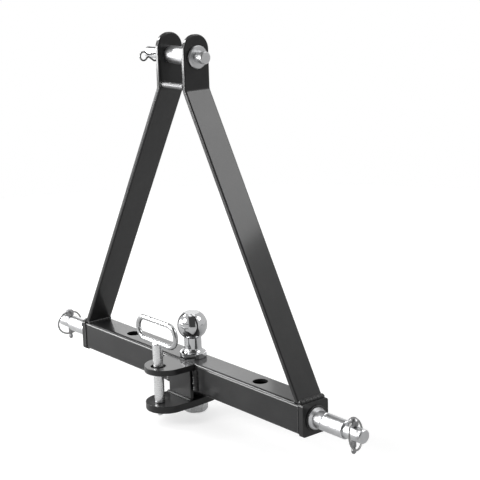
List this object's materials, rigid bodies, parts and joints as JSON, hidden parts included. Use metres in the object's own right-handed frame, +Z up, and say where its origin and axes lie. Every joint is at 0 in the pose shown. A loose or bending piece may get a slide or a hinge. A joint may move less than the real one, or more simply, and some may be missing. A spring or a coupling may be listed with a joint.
{
  "type": "three-point receiver hitch",
  "caption": "Welded A-frame hitch on a square crossbar, with sleeved lower pins, linch pins, a top link pin with clip, a drawbar clevis with drop pin and a tow ball",
  "frame": {"origin": "centre of the top link pin, midway between the two ears", "axes": "+X along the crossbar towards the right-hand lower pin as seen from the clevis side, +Y from the clevis side to the back, +Z up"},
  "size_m": [0.822, 0.125, 0.6419],
  "materials": {
    "black_paint": "semi-gloss black powder coat with slight orange peel",
    "painted_weld": "black paint over rippled weld beads",
    "bare_steel": "bright drawn steel rod, lightly scratched",
    "zinc_plate": "clear zinc plate on turned steel",
    "spring_wire": "zinc plated spring wire",
    "ball_chrome": "chrome plated, fine scuffs"
  },
  "bodies": {
    "frame": {"crossbar": "black_paint", "left_end_plate": "black_paint", "right_end_plate": "black_paint", "left_arm": "black_paint", "right_arm": "black_paint", "ear_rod": "bare_steel", "left_lower_pin": "zinc_plate", "right_lower_pin": "zinc_plate", "upper_clevis_plate": "black_paint", "lower_clevis_plate": "black_paint", "clevis_block": "black_paint", "tow_ball": "ball_chrome", "shank_spacer": "black_paint", "ball_lock_washer": "zinc_plate", "ball_nut": "zinc_plate", "arm_welds": "painted_weld", "ear_rod_welds": "painted_weld", "end_plate_welds": "painted_weld", "clevis_welds": "painted_weld"},
    "top_pin": {"top_link_pin": "zinc_plate"},
    "top_clip": {"top_pin_clip": "spring_wire"},
    "left_sleeve": {"left_pin_sleeve": "zinc_plate"},
    "right_sleeve": {"right_pin_sleeve": "zinc_plate"},
    "left_linch": {"left_linch_pin": "zinc_plate"},
    "right_linch": {"right_linch_pin": "zinc_plate"},
    "left_ring": {"left_linch_ring": "spring_wire"},
    "right_ring": {"right_linch_ring": "spring_wire"},
    "drop_pin": {"hitch_pin": "zinc_plate", "hitch_pin_handle": "zinc_plate"}
  },
  "joints": [
    {"name": "top_pin_turn", "type": "hinge", "parent": "frame", "child": "top_pin", "pos_m": [0, 0, 0], "axis": [1, 0, 0], "continuous": true},
    {"name": "top_clip_pull", "type": "slide", "parent": "top_pin", "child": "top_clip", "axis": [0, -1, 0], "range_m": [0, 0.045]},
    {"name": "left_sleeve_turn", "type": "hinge", "parent": "frame", "child": "left_sleeve", "pos_m": [-0.3518, 0, -0.534], "axis": [-1, 0, 0], "continuous": true},
    {"name": "right_sleeve_turn", "type": "hinge", "parent": "frame", "child": "right_sleeve", "pos_m": [0.3518, 0, -0.534], "axis": [1, 0, 0], "continuous": true},
    {"name": "left_linch_turn", "type": "hinge", "parent": "frame", "child": "left_linch", "pos_m": [-0.388, 0, -0.534], "axis": [0, 0, 1], "range_deg": [-20, 20]},
    {"name": "right_linch_turn", "type": "hinge", "parent": "frame", "child": "right_linch", "pos_m": [0.388, 0, -0.534], "axis": [0, 0, 1], "range_deg": [-44, 10]},
    {"name": "left_ring_swing", "type": "hinge", "parent": "left_linch", "child": "left_ring", "pos_m": [-0.388, 0, -0.5158], "axis": [0.1736, 0.9848, 0], "range_deg": [0, 160]},
    {"name": "right_ring_swing", "type": "hinge", "parent": "right_linch", "child": "right_ring", "pos_m": [0.388, 0, -0.5158], "axis": [0.3746, -0.9272, 0], "range_deg": [0, 160]},
    {"name": "drop_pin_lift", "type": "slide", "parent": "frame", "child": "drop_pin", "axis": [0, 0, 1], "range_m": [0, 0.12]}
  ]
}
